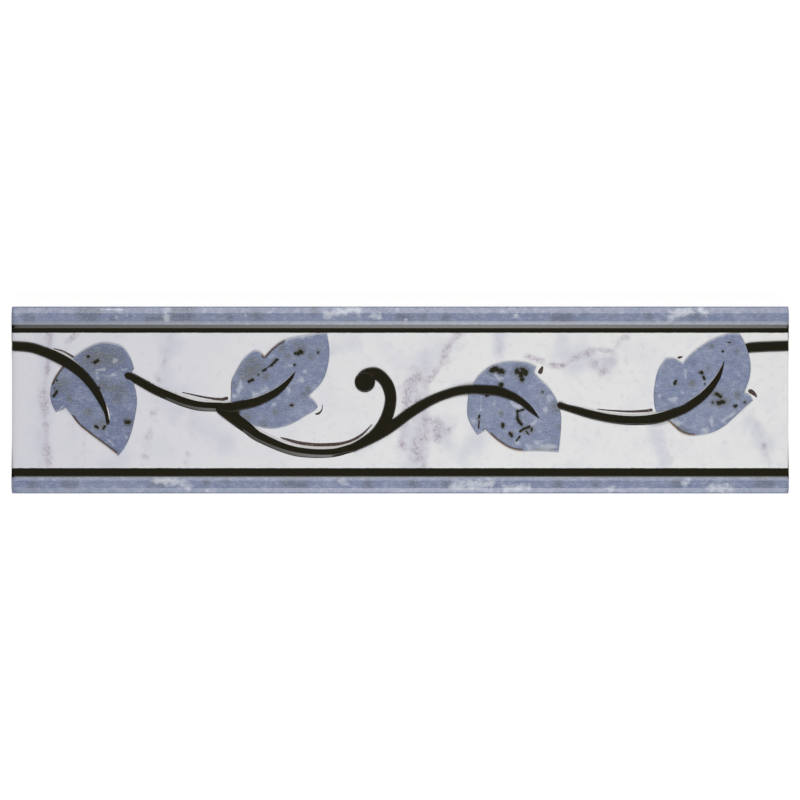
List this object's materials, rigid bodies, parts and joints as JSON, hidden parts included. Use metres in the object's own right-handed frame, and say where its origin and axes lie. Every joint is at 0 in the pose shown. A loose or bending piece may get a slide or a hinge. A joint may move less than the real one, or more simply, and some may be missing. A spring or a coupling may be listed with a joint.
{
  "type": "victorian border tile",
  "caption": "Long narrow glazed wall border tile with raised banded edges and a running vine and leaf scroll in relief.",
  "frame": {"origin": "middle of the back, on the plane the back's lands stand on", "axes": "+X along the tile's length towards the end where the vine leaves, +Y across the face towards the upper long edge as it hangs on the wall, +Z out of the face"},
  "size_m": [0.25, 0.0602, 0.0084],
  "materials": {
    "glazed_body": "high-gloss transparent glaze over an off-white body, with blue-grey bands and leaves and a black vine printed under it"
  },
  "bodies": {
    "root": {"border_tile": "glazed_body"}
  },
  "joints": []
}
